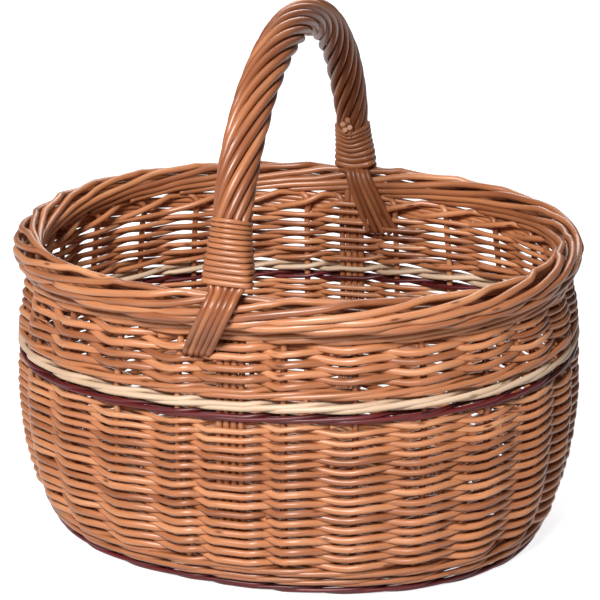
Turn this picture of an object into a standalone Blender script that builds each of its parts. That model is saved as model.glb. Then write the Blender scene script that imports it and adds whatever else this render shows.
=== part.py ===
"""Oval willow foraging basket with a fixed twisted handle.

Metres, +Z up. X runs along the basket, the handle stands in the plane X = 0, and the origin is
the middle of the foot, on the ground. Places round the wall are counted in slots, one for each
stake, starting at the handle's front foot and going counter-clockwise seen from above.
"""

import math

import bmesh
import bpy
import numpy as np
from mathutils import Vector

# Plan of the wall, to its outer face
BELLY_HALF_LENGTH = 0.2044
BELLY_HALF_WIDTH = 0.1700
FOOT_INSET = 0.0226
PLAN_EXPONENT_SHARE = 2.2

# Heights of the courses, from the foot up
FOOT_WALE_HEIGHT = 0.007
UPSETT_WALE_HEIGHT = 0.016
LOWER_RANDING_HEIGHT = 0.107
DARK_WALE_HEIGHT = 0.007
CREAM_WALE_HEIGHT = 0.009
BUFF_WALE_HEIGHT = 0.008
UPPER_RANDING_HEIGHT = 0.030
TOP_WALE_HEIGHT = 0.012

# How far out of the foot the wall stands, as shares of the way to the belly
UPSETT_SHARE = 0.43
BELLY_LOW_SHARE = 0.91
BAND_SHARE = 0.91
WALL_TOP_SHARE = 0.60

# Rods of the wall
STAKE_COUNT = 26
HANDLE_GAP_SHARE = 0.83
STAKE_RADIUS = 0.0024
STAKE_FOOT = 0.0015
RANDING_THICKNESS = 0.0026
WALE_THICKNESS = 0.0036
LOWER_BAND_COUNT = 11
BELLY_LOW_BAND_COUNT = 5
BELLY_HIGH_BAND_COUNT = 9
UPPER_BAND_COUNT = 3
CLEARANCE = 0.0003

# Border
RIM_OUTSET_LONG = 0.0030
RIM_OUTSET_WIDE = 0.0080
RIM_RISE = 0.012
BORDER_RADIUS = 0.0105
BORDER_ROD_SHARE = 0.9

# Handle
ARCH_INSET = 0.002
ARCH_SPRING_RISE = 0.012
ARCH_RISE = 0.1465
BOW_RADIUS = 0.0059
TAIL_HALF_WIDTH = 0.00675
TAIL_HALF_THICKNESS = 0.00225
TAIL_FOOT = 0.018
ROPE_ROD_COUNT = 8
ROPE_ROD_RADIUS = 0.0033
TWIST_TURNS_SHARE = 2.5
FAN_SLIDE = 0.020
BINDING_ROD_RADIUS = 0.00145
BINDING_PITCH = 0.0039
BINDING_RISE = 0.0072
FRONT_TURN_COUNT = 12
REAR_TURN_COUNT = 8

# Base
SHORT_STICK_COUNT = 7
SHORT_STICK_RADIUS = 0.0027
SHORT_STICK_SPACING = 0.020
LONG_STICK_COUNT = 6
LONG_STICK_RADIUS = 0.0030
LONG_STICK_SPACING = 0.0085
LONG_STICK_LIFT = 0.0004
STICK_HEIGHT = 0.0115
BASE_WEAVE_THICKNESS = 0.0024
BASE_ROUND_COUNT = 8
SLATH_SHARE = 0.18
BASE_ROUND_FILL_SHARE = 0.94

# Worked out from the sizes above
FOOT_WALE_TOP = FOOT_WALE_HEIGHT
UPSETT_WALE_TOP = FOOT_WALE_TOP + UPSETT_WALE_HEIGHT
LOWER_RANDING_TOP = UPSETT_WALE_TOP + LOWER_RANDING_HEIGHT
DARK_WALE_TOP = LOWER_RANDING_TOP + DARK_WALE_HEIGHT
CREAM_WALE_TOP = DARK_WALE_TOP + CREAM_WALE_HEIGHT
BUFF_WALE_TOP = CREAM_WALE_TOP + BUFF_WALE_HEIGHT
UPPER_RANDING_TOP = BUFF_WALE_TOP + UPPER_RANDING_HEIGHT
WALL_TOP = UPPER_RANDING_TOP + TOP_WALE_HEIGHT
LOWER_BAND_PITCH = LOWER_RANDING_HEIGHT / LOWER_BAND_COUNT
BELLY_LOW = UPSETT_WALE_TOP + BELLY_LOW_BAND_COUNT * LOWER_BAND_PITCH
BELLY_HIGH = UPSETT_WALE_TOP + BELLY_HIGH_BAND_COUNT * LOWER_BAND_PITCH
FOOT_HALF_LENGTH = BELLY_HALF_LENGTH - FOOT_INSET
FOOT_HALF_WIDTH = BELLY_HALF_WIDTH - FOOT_INSET
STEEP_CREST_SHARE = 1.03
RANDING_CREST = (STAKE_RADIUS + CLEARANCE + RANDING_THICKNESS / 2) * STEEP_CREST_SHARE
WALE_CREST = (STAKE_RADIUS + CLEARANCE + WALE_THICKNESS / 2) * STEEP_CREST_SHARE
WALL_HALF = RANDING_CREST + RANDING_THICKNESS / 2
TOP_HALF_LENGTH = FOOT_HALF_LENGTH + WALL_TOP_SHARE * FOOT_INSET - WALL_HALF
TOP_HALF_WIDTH = FOOT_HALF_WIDTH + WALL_TOP_SHARE * FOOT_INSET - WALL_HALF
RIM_HALF_LENGTH = TOP_HALF_LENGTH + RIM_OUTSET_LONG
RIM_HALF_WIDTH = TOP_HALF_WIDTH + RIM_OUTSET_WIDE
RIM_HEIGHT = WALL_TOP + RIM_RISE
BORDER_RING_RADIUS = BORDER_RADIUS - BORDER_ROD_SHARE * STAKE_RADIUS
ARCH_HALF_WIDTH = RIM_HALF_WIDTH - ARCH_INSET
ARCH_SPRING_HEIGHT = RIM_HEIGHT + ARCH_SPRING_RISE
BINDING_BOTTOM = ARCH_SPRING_HEIGHT + BINDING_RISE
TAIL_GAP = TAIL_HALF_WIDTH + CLEARANCE + STAKE_RADIUS
TAIL_PAST = TAIL_HALF_WIDTH + STAKE_RADIUS
ROPE_RADIUS = BOW_RADIUS + 2 * CLEARANCE + ROPE_ROD_RADIUS
CHORD_SHARE = 0.94
ROPE_CENTRE_RADIUS = ROPE_RADIUS / CHORD_SHARE
ROW_PITCH = 2 * ROPE_ROD_RADIUS + CLEARANCE
ROW_OFFSET = TAIL_HALF_THICKNESS + CLEARANCE + ROPE_ROD_RADIUS

for old in list(bpy.data.objects):
    bpy.data.objects.remove(old, do_unlink=True)

basket = bpy.data.collections.new("mushroom_foraging_basket")
bpy.context.scene.collection.children.link(basket)


def willow(name, colour, roughness):
    """One willow finish: peeled, boiled or stained rod, not metallic."""
    material = bpy.data.materials.new(name)
    material.use_nodes = True
    shader = material.node_tree.nodes["Principled BSDF"]
    shader.inputs["Base Color"].default_value = (*colour, 1.0)
    shader.inputs["Roughness"].default_value = roughness
    shader.inputs["Metallic"].default_value = 0.0
    material.diffuse_color = (*colour, 1.0)
    return material


BUFF = willow("buff_willow", (0.55, 0.22, 0.09), 0.5)
BUFF_PALE = willow("buff_willow_light", (0.66, 0.30, 0.13), 0.5)
CREAM = willow("white_willow", (0.80, 0.66, 0.45), 0.55)
DARK = willow("stained_willow", (0.09, 0.02, 0.02), 0.45)


SMOOTH_ANGLE = math.radians(40)


def add_mesh(name, bm, material):
    """Turns a bmesh into a named piece of the basket."""
    bmesh.ops.recalc_face_normals(bm, faces=bm.faces)
    mesh = bpy.data.meshes.new(name)
    bm.to_mesh(mesh)
    bm.free()
    mesh.shade_smooth()
    mesh.set_sharp_from_angle(angle=SMOOTH_ANGLE)
    mesh.materials.append(material)
    piece = bpy.data.objects.new(name, mesh)
    basket.objects.link(piece)
    return piece


def add_rod(name, points, radius, material, thickness_shares, bevel_resolution=1):
    """A round rod along the points, with its thickness at each point as a share of the radius."""
    curve = bpy.data.curves.new(name, "CURVE")
    curve.dimensions = "3D"
    curve.bevel_depth = radius
    curve.bevel_resolution = bevel_resolution
    curve.use_fill_caps = True
    curve.resolution_u = 1
    spline = curve.splines.new("POLY")
    spline.points.add(len(points) - 1)
    for point, place, share in zip(spline.points, points, thickness_shares):
        point.co = (*place, 1.0)
        point.radius = share
    spline.use_smooth = True
    curve.materials.append(material)
    piece = bpy.data.objects.new(name, curve)
    basket.objects.link(piece)
    return piece


# The plan of the wall is a superellipse. A place on it is found by its share of the way round.
PLAN_STEP_COUNT = 2880


def plan_place(angle, half_length, half_width):
    """The plan curve's point and its outward normal at an angle of its own measure."""
    power = 2 / PLAN_EXPONENT_SHARE
    across, along = math.sin(angle), math.cos(angle)
    x = half_length * math.copysign(abs(along) ** power, along)
    y = half_width * math.copysign(abs(across) ** power, across)
    steep = PLAN_EXPONENT_SHARE - 1
    normal = Vector((
        math.copysign(abs(x / half_length) ** steep, x) / half_length,
        math.copysign(abs(y / half_width) ** steep, y) / half_width,
        0.0,
    ))
    return Vector((x, y, 0.0)), normal.normalized()


plan_angles = np.linspace(-math.pi / 2, 3 * math.pi / 2, PLAN_STEP_COUNT + 1)
plan_points = np.array(
    [plan_place(angle, RIM_HALF_LENGTH, RIM_HALF_WIDTH)[0][:2] for angle in plan_angles]
)
plan_lengths = np.concatenate(
    [[0.0], np.cumsum(np.linalg.norm(np.diff(plan_points, axis=0), axis=1))]
)
RIM_GIRTH = float(plan_lengths[-1])
other_gap_share = (STAKE_COUNT - 4 * HANDLE_GAP_SHARE) / (STAKE_COUNT - 4)
slot_gaps = [other_gap_share] * STAKE_COUNT
for near_handle in (0, STAKE_COUNT // 2 - 1, STAKE_COUNT // 2, STAKE_COUNT - 1):
    slot_gaps[near_handle] = HANDLE_GAP_SHARE
slot_starts = np.concatenate([[0.0], np.cumsum(slot_gaps)]) * RIM_GIRTH / STAKE_COUNT


def slot_length(slot):
    """How far round the rim a slot number lies. Fractions fall between two stakes."""
    rounds, rest = divmod(slot, STAKE_COUNT)
    return rounds * RIM_GIRTH + float(np.interp(rest, range(STAKE_COUNT + 1), slot_starts))


def rim_angle(length):
    return float(np.interp(length % RIM_GIRTH, plan_lengths, plan_angles))


PROFILE_HEIGHTS = (0.0, UPSETT_WALE_TOP, BELLY_LOW, BELLY_HIGH, BUFF_WALE_TOP, WALL_TOP)
PROFILE_SHARES = (0.0, UPSETT_SHARE, BELLY_LOW_SHARE, 1.0, BAND_SHARE, WALL_TOP_SHARE)


def stake_line(height):
    """Half length and half width of the line of the stakes at a height of the wall."""
    share = float(np.interp(height, PROFILE_HEIGHTS, PROFILE_SHARES))
    half_length = FOOT_HALF_LENGTH + share * (BELLY_HALF_LENGTH - FOOT_HALF_LENGTH)
    half_width = FOOT_HALF_WIDTH + share * (BELLY_HALF_WIDTH - FOOT_HALF_WIDTH)
    return half_length - WALL_HALF, half_width - WALL_HALF


def wall_point(length, out, height):
    """A point of the wall: how far round, how far out of the stake line, and how high."""
    place, normal = plan_place(rim_angle(length), *stake_line(height))
    point = place + normal * out
    point.z = height
    return point


def rim_point(slot, out, height):
    """A point of the border, out of the rim's centre line."""
    place, normal = plan_place(rim_angle(slot_length(slot)), RIM_HALF_LENGTH, RIM_HALF_WIDTH)
    point = place + normal * out
    point.z = height
    return point


def is_handle_slot(slot):
    return slot % (STAKE_COUNT // 2) == 0


# Wall courses. Each one is a band that passes outside some stakes and inside the others.


def add_course(name, low, high, thickness, crest, goes_outside, material):
    """A closed band between two heights, bent round each stake and straight between them."""
    stations = []
    for slot in range(STAKE_COUNT):
        out = crest if goes_outside(slot) else -crest
        reach = (-TAIL_PAST, TAIL_GAP + TAIL_PAST - TAIL_HALF_WIDTH) if is_handle_slot(slot) else (0.0,)
        stations += [(slot_length(slot) + shift, out) for shift in reach]
    low += CLEARANCE / 2 if low else 0.0
    high -= CLEARANCE / 2
    bm = bmesh.new()
    sections = []
    for length, out in stations:
        corners = (
            (out - thickness / 2, low),
            (out + thickness / 2, low),
            (out + thickness / 2, high),
            (out - thickness / 2, high),
        )
        sections.append([bm.verts.new(wall_point(length, side, z)) for side, z in corners])
    join_sections(bm, sections + sections[:1])
    return add_mesh(name, bm, material)


def join_sections(bm, sections):
    """Faces between each section and the next."""
    for section, after in zip(sections, sections[1:]):
        for corner, vertex in enumerate(section):
            beside = (corner + 1) % len(section)
            bm.faces.new((vertex, section[beside], after[beside], after[corner]))


def add_randing(name, low, high, bands, first_phase):
    """A stretch of single-rod rows in equal bands, each passing the stakes the other way."""
    levels = np.linspace(low, high, bands + 1)
    for band in range(bands):
        phase = first_phase + band
        add_course(
            f"{name}_{band + 1:02d}",
            float(levels[band]),
            float(levels[band + 1]),
            RANDING_THICKNESS,
            RANDING_CREST,
            lambda slot, phase=phase: (slot + phase) % 2 == 0,
            BUFF if band % 2 else BUFF_PALE,
        )


WALE_STAKE_COUNT = 3
UPSETT_PHASE = 1


def wale_goes_outside(slot, phase):
    return (slot % STAKE_COUNT + phase) % WALE_STAKE_COUNT < WALE_STAKE_COUNT - 1


def add_wale(name, low, high, phase, material):
    """A waled course: outside two stakes, inside the third, with a step where it closes."""
    add_course(
        name,
        low,
        high,
        WALE_THICKNESS,
        WALE_CREST,
        lambda slot: wale_goes_outside(slot, phase),
        material,
    )


add_wale("foot_wale", 0.0, FOOT_WALE_TOP, 0, DARK)
add_wale("upsett_wale", FOOT_WALE_TOP, UPSETT_WALE_TOP, UPSETT_PHASE, BUFF_PALE)
add_randing("lower_randing", UPSETT_WALE_TOP, LOWER_RANDING_TOP, LOWER_BAND_COUNT, 0)
add_wale("dark_wale", LOWER_RANDING_TOP, DARK_WALE_TOP, 2, DARK)
add_wale("cream_wale", DARK_WALE_TOP, CREAM_WALE_TOP, 0, CREAM)
add_wale("buff_wale", CREAM_WALE_TOP, BUFF_WALE_TOP, 1, BUFF_PALE)
add_randing("upper_randing", BUFF_WALE_TOP, UPPER_RANDING_TOP, UPPER_BAND_COUNT, 1)
add_wale("top_wale", UPPER_RANDING_TOP, WALL_TOP, 0, BUFF_PALE)

# Stakes and border. Each stake climbs the wall and leaves it over the top wale. It winds up the
# border's outer face for four slots, crosses over the top, and winds down inside for two more.
BORDER_PATH_SHARES = (
    # slots on, share of a turn up from straight out, share of the ring's radius, thickness
    (0.50, -0.244, 1.12, 1.00),
    (1.00, -0.172, 1.04, 0.95),
    (2.00, -0.078, 1.00, 0.90),
    (3.00, 0.017, 1.00, 0.90),
    (4.00, 0.114, 1.00, 0.90),
    (4.22, 0.139, 1.02, 0.90),
    (4.68, 0.350, 1.17, 0.88),
    (5.00, 0.392, 1.09, 0.88),
    (6.00, 0.470, 1.04, 0.85),
    (7.00, 0.545, 1.05, 0.80),
    (7.25, 0.572, 1.12, 0.75),
)


def border_point(slot, turn_share, ring_share):
    """A point of the border, on a ring round the rim's centre line."""
    turn = 2 * math.pi * turn_share
    ring = ring_share * BORDER_RING_RADIUS
    return rim_point(slot, ring * math.cos(turn), RIM_HEIGHT + ring * math.sin(turn))


for slot in range(STAKE_COUNT):
    beside = TAIL_GAP if is_handle_slot(slot) else 0.0
    foot_length = slot_length(slot) + beside
    heights = (STAKE_FOOT, *PROFILE_HEIGHTS[1:])
    points = [wall_point(foot_length, 0.0, height) for height in heights]
    top = wall_point(foot_length, 0.0, WALL_TOP)
    top.z = WALL_TOP + CLEARANCE + STAKE_RADIUS
    points.append(top)
    thickness_shares = [1.0 for _ in points]
    for ahead, turn_share, ring_share, thickness_share in BORDER_PATH_SHARES:
        points.append(border_point(slot + ahead, turn_share, ring_share))
        thickness_shares.append(thickness_share)
    add_rod(f"stake_{slot + 1:02d}", points, STAKE_RADIUS, BUFF, thickness_shares)

# Handle. The bow is the core: round along the arch, flat where it goes down the wall.


def arch_frame(angle):
    """Centre, sideways and outward directions of the arch, from 0 at the front to pi behind."""
    centre = Vector((
        0.0,
        -ARCH_HALF_WIDTH * math.cos(angle),
        ARCH_SPRING_HEIGHT + ARCH_RISE * math.sin(angle),
    ))
    outward = Vector((
        0.0,
        -ARCH_RISE * math.cos(angle),
        ARCH_HALF_WIDTH * math.sin(angle),
    ))
    return centre, Vector((1.0, 0.0, 0.0)), outward.normalized()


def arch_angle(height):
    """The front angle at which the arch's centre line reaches a height."""
    return math.asin((height - ARCH_SPRING_HEIGHT) / ARCH_RISE)


def binding_top(turns):
    return BINDING_BOTTOM + turns * BINDING_PITCH


def ease(share):
    share = min(max(share, 0.0), 1.0)
    return (1 - math.cos(math.pi * share)) / 2


def roundness(angle):
    """0 where the handle is flat at a foot, 1 where it is a round rope."""
    turns = FRONT_TURN_COUNT if angle < math.pi / 2 else REAR_TURN_COUNT
    height = arch_frame(angle)[0].z
    low = ARCH_SPRING_HEIGHT
    return ease((height - low) / (binding_top(turns) - low))


BINDING_STEP_COUNT = 4
ARCH_STEP_COUNT = 21
front_angles = [
    arch_angle(ARCH_SPRING_HEIGHT + share * (binding_top(FRONT_TURN_COUNT) - ARCH_SPRING_HEIGHT))
    for share in np.linspace(0, 1, BINDING_STEP_COUNT + 1)
]
rear_angles = [
    math.pi - arch_angle(ARCH_SPRING_HEIGHT + share * (binding_top(REAR_TURN_COUNT) - ARCH_SPRING_HEIGHT))
    for share in np.linspace(1, 0, BINDING_STEP_COUNT + 1)
]
rope_angles = np.linspace(front_angles[-1], rear_angles[0], ARCH_STEP_COUNT + 1)
handle_angles = front_angles[:-1] + [float(angle) for angle in rope_angles] + rear_angles[1:]


def tail_places(side):
    """Centres of the bow's end down the wall at side -1 (front) or 1 (rear), from the foot up."""
    heights = [TAIL_FOOT, *PROFILE_HEIGHTS[1:]]
    places = [Vector((0.0, side * stake_line(height)[1], height)) for height in heights]
    above = RIM_HEIGHT + CLEARANCE
    places.append(Vector((0.0, side * ARCH_HALF_WIDTH, above)))
    return places


def bow_sections():
    """Centre, sideways, outward, half width and half thickness along the whole bow."""
    front = Vector((0.0, -1.0, 0.0))
    sideways = Vector((1.0, 0.0, 0.0))
    flat = (TAIL_HALF_WIDTH, TAIL_HALF_THICKNESS)
    sections = [(place, sideways, front, *flat) for place in tail_places(-1)]
    for angle in handle_angles:
        share = roundness(angle)
        wide = TAIL_HALF_WIDTH + share * (BOW_RADIUS - TAIL_HALF_WIDTH)
        thick = TAIL_HALF_THICKNESS + share * (BOW_RADIUS - TAIL_HALF_THICKNESS)
        sections.append((*arch_frame(angle), wide, thick))
    sections += [(place, sideways, -front, *flat) for place in reversed(tail_places(1))]
    return sections


BOW_SIDE_COUNT = 6
bm = bmesh.new()
rings = []
for centre, sideways, outward, wide, thick in bow_sections():
    ring = []
    for side in range(BOW_SIDE_COUNT):
        turn = 2 * math.pi * (side + 0.5) / BOW_SIDE_COUNT
        offset = sideways * wide * math.cos(turn) + outward * thick * math.sin(turn)
        ring.append(bm.verts.new(centre + offset))
    rings.append(ring)
join_sections(bm, rings)
bm.faces.new(rings[0])
bm.faces.new(list(reversed(rings[-1])))
add_mesh("handle_bow", bm, BUFF)

# The twisted rods rise to the right, seen from outside. At each foot half of them fan out over
# the border and half inside it.
OUTER_FAN_SHARES = (
    # out and up in border radii, slide, thickness
    (0.58, 1.30, 0.00, 0.97),
    (1.05, 0.95, 0.08, 0.94),
    (1.34, 0.72, 0.14, 0.92),
    (1.50, 0.25, 0.24, 0.90),
    (1.50, -0.29, 0.36, 0.88),
    (1.32, -0.92, 0.52, 0.82),
    (1.03, -1.46, 0.68, 0.76),
    (0.49, -2.23, 1.00, 0.62),
)
INNER_FAN_SHARES = (
    (-0.89, 1.38, 0.00, 0.97),
    (-1.23, 1.07, 0.06, 0.94),
    (-1.51, 0.63, 0.14, 0.92),
    (-1.62, 0.00, 0.26, 0.90),
    (-1.65, -1.17, 0.50, 0.84),
    (-1.63, -2.33, 0.74, 0.76),
    (-1.28, -3.60, 1.00, 0.62),
)
FAN_PITCH_LOSS_SHARE = 0.2


def rope_offset(turn, share, column, row):
    """Sideways and outward offset of a rod from the arch, flat rows at 0 and a ring at 1."""
    wide = (1 - share) * column * ROW_PITCH + share * ROPE_CENTRE_RADIUS * math.cos(turn)
    out = (1 - share) * row * ROW_OFFSET + share * ROPE_CENTRE_RADIUS * math.sin(turn)
    return wide, out


def foot_place(turn):
    """Column and row that a rod takes at a foot, from its turn round the rope there."""
    turn %= 2 * math.pi
    row = 1 if turn < math.pi else -1
    per_row = ROPE_ROD_COUNT // 2
    index = int(turn / math.pi * per_row) % per_row
    column = row * ((per_row - 1) / 2 - index)
    return column, row


def fan(side, column, row):
    """A rod's end from the binding down over the border, with its thickness at each point."""
    points, thickness_shares = [], []
    table = OUTER_FAN_SHARES if row > 0 else INNER_FAN_SHARES
    for out_share, up_share, slide, thickness in table:
        pitch = ROW_PITCH * (1 - slide * FAN_PITCH_LOSS_SHARE)
        x = column * pitch + side * slide * FAN_SLIDE
        y = side * (RIM_HALF_WIDTH + out_share * BORDER_RADIUS)
        points.append(Vector((x, y, RIM_HEIGHT + up_share * BORDER_RADIUS)))
        thickness_shares.append(thickness)
    return points, thickness_shares


for rod in range(ROPE_ROD_COUNT):
    first_turn = 2 * math.pi * (rod + 0.5) / ROPE_ROD_COUNT
    last_turn = first_turn - 2 * math.pi * TWIST_TURNS_SHARE
    points, thickness_shares = fan(-1, *foot_place(first_turn))
    points.reverse()
    thickness_shares.reverse()
    for angle in handle_angles:
        progress = (angle - front_angles[-1]) / (rear_angles[0] - front_angles[-1])
        progress = min(max(progress, 0.0), 1.0)
        turn = first_turn + progress * (last_turn - first_turn)
        place = foot_place(first_turn if angle < math.pi / 2 else last_turn)
        wide, out = rope_offset(turn, roundness(angle), *place)
        centre, sideways, outward = arch_frame(angle)
        if centre.z < BINDING_BOTTOM - BINDING_ROD_RADIUS:
            continue
        points.append(centre + sideways * wide + outward * out)
        thickness_shares.append(1.0)
    end_points, end_thickness_shares = fan(1, *foot_place(last_turn))
    points += end_points
    thickness_shares += end_thickness_shares
    add_rod(f"handle_rod_{rod + 1}", points, ROPE_ROD_RADIUS, BUFF, thickness_shares)

# Bindings: one unbroken rod wound round the handle's foot.
TURN_POINT_COUNT = 10


def add_binding(name, side, turns):
    """A winding from the bottom up, each turn as wide as the rods it holds."""
    around = 1 / math.cos(math.pi / TURN_POINT_COUNT)
    half_row = (ROPE_ROD_COUNT / 2 - 1) / 2 * ROW_PITCH
    tiny_share = 0.001
    points = []
    for step in range(turns * TURN_POINT_COUNT - TURN_POINT_COUNT // 2):
        share = step / (turns * TURN_POINT_COUNT)
        angle = arch_angle(BINDING_BOTTOM + BINDING_ROD_RADIUS + share * turns * BINDING_PITCH)
        angle = angle if side < 0 else math.pi - angle
        centre, sideways, outward = arch_frame(angle)
        round_share = roundness(angle)
        turn = 2 * math.pi * step / TURN_POINT_COUNT
        across, along = math.sin(turn), math.cos(turn)
        hold = (ROPE_ROD_RADIUS + 2 * CLEARANCE + BINDING_ROD_RADIUS) * around
        column_edge = math.copysign(half_row, along) if abs(along) > tiny_share else 0.0
        row_edge = math.copysign(ROW_OFFSET, across) if abs(across) > tiny_share else 0.0
        ring = ROPE_CENTRE_RADIUS * around
        x = (1 - round_share) * column_edge + round_share * ring * along + hold * along
        y = (1 - round_share) * row_edge + round_share * ring * across + hold * across
        points.append(centre + sideways * x + outward * y)
    piece = add_rod(name, points, BINDING_ROD_RADIUS, BUFF_PALE, [1.0 for _ in points])
    places = np.array(points)
    apart = np.linalg.norm(places[:, None] - places[None], axis=2)
    steps = np.arange(len(points))
    far = abs(steps[:, None] - steps[None]) > TURN_POINT_COUNT // 2
    gap = float(apart[far].min()) - 2 * BINDING_ROD_RADIUS
    print(f"{name}: least gap to itself {gap * 1000:.2f} mm")
    return piece


add_binding("binding_front", -1, FRONT_TURN_COUNT)
add_binding("binding_rear", 1, REAR_TURN_COUNT)

# Base. Long sticks threaded through short ones, their ends spread like spokes to the stakes, and
# a rod woven over and under them, round and round from the middle of the base to its edge.
HALF_SLOT_COUNT = STAKE_COUNT // 2
SLATH_HALF_LENGTH = SHORT_STICK_COUNT / 2 * SHORT_STICK_SPACING
SLATH_HALF_WIDTH = (LONG_STICK_COUNT + 1) / 2 * LONG_STICK_SPACING
BASE_CREST = LONG_STICK_RADIUS + LONG_STICK_LIFT + CLEARANCE + BASE_WEAVE_THICKNESS / 2
BASE_INSET = WALE_CREST + WALE_THICKNESS / 2 + CLEARANCE


def spoke(slot, depth, inset):
    """Both ends of the spoke that points at a stake's slot, this far inside the stake's line."""
    place_on = (slot + SHORT_STICK_COUNT // 2) % STAKE_COUNT
    half_turn, place = divmod(place_on, HALF_SLOT_COUNT)
    side = -1 if half_turn else 1
    if place < SHORT_STICK_COUNT:
        shift = (place - SHORT_STICK_COUNT // 2) * SHORT_STICK_SPACING
        start = Vector((side * shift, -side * SLATH_HALF_WIDTH, STICK_HEIGHT))
    else:
        shift = (place - SHORT_STICK_COUNT - (LONG_STICK_COUNT - 1) / 2) * LONG_STICK_SPACING
        start = Vector((side * SLATH_HALF_LENGTH, side * shift, STICK_HEIGHT))
    half_length, half_width = stake_line(STICK_HEIGHT - depth)
    angle = rim_angle(slot_length(slot))
    end, _ = plan_place(angle, half_length - inset, half_width - inset)
    end.z = STICK_HEIGHT
    return start, end


def stick_mesh(name, points, radius):
    """A four-sided stick along the points, closed and merged, ready to be joined."""
    rod = add_rod(name, points, radius, BUFF, [1.0 for _ in points], bevel_resolution=0)
    bm = bmesh.new()
    bm.from_mesh(bpy.data.meshes.new_from_object(rod))
    bpy.data.objects.remove(rod, do_unlink=True)
    bmesh.ops.remove_doubles(bm, verts=bm.verts, dist=MERGE_DISTANCE)
    return add_mesh(name, bm, BUFF)


def stick_spoke(slot):
    """A stick ends at its stake, or at the upsett wale where that passes inside the stake."""
    inset = STAKE_RADIUS + CLEARANCE if wale_goes_outside(slot, UPSETT_PHASE) else BASE_INSET
    return spoke(slot, LONG_STICK_RADIUS, inset)


MERGE_DISTANCE = 0.00001
sticks = []
for place in range(SHORT_STICK_COUNT + LONG_STICK_COUNT):
    near_slot = place - SHORT_STICK_COUNT // 2
    far_slot = HALF_SLOT_COUNT - near_slot
    if place >= SHORT_STICK_COUNT:
        far_slot += HALF_SLOT_COUNT
    near_start, near_end = stick_spoke(near_slot)
    far_start, far_end = stick_spoke(far_slot)
    points = [near_end, near_start, far_start, far_end]
    radius = SHORT_STICK_RADIUS
    if place >= SHORT_STICK_COUNT:
        radius = LONG_STICK_RADIUS
        points = [point + Vector((0.0, 0.0, LONG_STICK_LIFT)) for point in points]
    sticks.append(stick_mesh("joined_stick" if sticks else "base_sticks", points, radius))
slath = sticks[0]
cutters = bpy.data.collections.new("joined_sticks")
bpy.context.scene.collection.children.link(cutters)
for stick in sticks[1:]:
    basket.objects.unlink(stick)
    cutters.objects.link(stick)
    stick.hide_render = True
    stick.display_type = "WIRE"
    union = slath.modifiers.new("join", "BOOLEAN")
    union.operation = "UNION"
    union.object = stick


def spoke_point(slot, share):
    start, end = spoke(slot, BASE_CREST + BASE_WEAVE_THICKNESS, BASE_INSET)
    return start.lerp(end, share)


round_share = (1 - SLATH_SHARE) / BASE_ROUND_COUNT
half_band_share = round_share * BASE_ROUND_FILL_SHARE / 2
bm = bmesh.new()
sections = []
for station in range((BASE_ROUND_COUNT - 1) * STAKE_COUNT + 1):
    share = SLATH_SHARE + round_share / 2 + station / STAKE_COUNT * round_share
    inner_share = share - half_band_share
    middle = spoke_point(station, inner_share)
    apart = min((middle - spoke_point(station + side, inner_share)).length for side in (-1, 1))
    crest = BASE_CREST / math.sqrt(1 - (2 * BASE_CREST / apart) ** 2)
    goes_over = (station + station // STAKE_COUNT) % 2 == 0
    lift = crest if goes_over else -crest
    section = []
    for across, up in ((-1, -1), (1, -1), (1, 1), (-1, 1)):
        corner = spoke_point(station, share + across * half_band_share)
        corner.z += lift + up * BASE_WEAVE_THICKNESS / 2
        section.append(bm.verts.new(corner))
    sections.append(section)
join_sections(bm, sections)
bm.faces.new(sections[0])
bm.faces.new(list(reversed(sections[-1])))
add_mesh("base_weave", bm, BUFF_PALE)
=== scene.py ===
import math

import bmesh
import bpy
import numpy as np
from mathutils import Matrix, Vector


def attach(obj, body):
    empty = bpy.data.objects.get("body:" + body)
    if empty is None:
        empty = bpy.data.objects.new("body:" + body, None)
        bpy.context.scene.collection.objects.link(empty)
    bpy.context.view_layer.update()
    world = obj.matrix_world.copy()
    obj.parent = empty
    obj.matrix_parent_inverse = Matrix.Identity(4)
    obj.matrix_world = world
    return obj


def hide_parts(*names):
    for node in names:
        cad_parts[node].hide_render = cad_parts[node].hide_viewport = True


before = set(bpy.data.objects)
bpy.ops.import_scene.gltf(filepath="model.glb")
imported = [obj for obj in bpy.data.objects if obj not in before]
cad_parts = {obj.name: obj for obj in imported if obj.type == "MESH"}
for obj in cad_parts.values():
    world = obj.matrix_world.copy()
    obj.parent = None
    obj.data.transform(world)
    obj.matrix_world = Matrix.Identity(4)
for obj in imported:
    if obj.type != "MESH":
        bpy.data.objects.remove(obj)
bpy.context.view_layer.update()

# Studio: the camera at the photograph's place, about 1.5 m from the basket and 18 degrees above
# it, a white sky and floor, one large soft lamp in front and above, and weaker ones overhead and
# behind.
CAMERA_AZIMUTH = math.radians(15.9)
CAMERA_ELEVATION = math.radians(18.4)
CAMERA_DISTANCE = 1.5
CAMERA_TARGET = Vector((0.0, 0.0, 0.180))
CAMERA_LENS_MM = 124.5
CAMERA_SHIFT = (0.0045, -0.0428)
FLOOR_HALF = 6.0
FLOOR_GLOW = 0.86
REFLECTED_SHARE = 0.5
SKY_LIGHT = 0.10


def linear(hex_colour):
    """An sRGB hex colour as the linear colour that a shader takes."""
    channels = [int(hex_colour[start:start + 2], 16) / 255 for start in (1, 3, 5)]
    curve = [c / 12.92 if c <= 0.04045 else ((c + 0.055) / 1.055) ** 2.4 for c in channels]
    return (*curve, 1.0)


def add_node(tree, kind, settings=None, **links):
    """Adds a node, sets its properties and sockets, and links what is given as a socket."""
    node = tree.nodes.new(kind)
    for key, value in (settings or {}).items():
        setattr(node, key, value)
    for key, value in links.items():
        numbered = key[0] == "i" and key[1:].isdigit()
        socket = node.inputs[int(key[1:]) if numbered else key.replace("_", " ")]
        if isinstance(value, bpy.types.NodeSocket):
            tree.links.new(value, socket)
        else:
            socket.default_value = value
    return node


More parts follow.
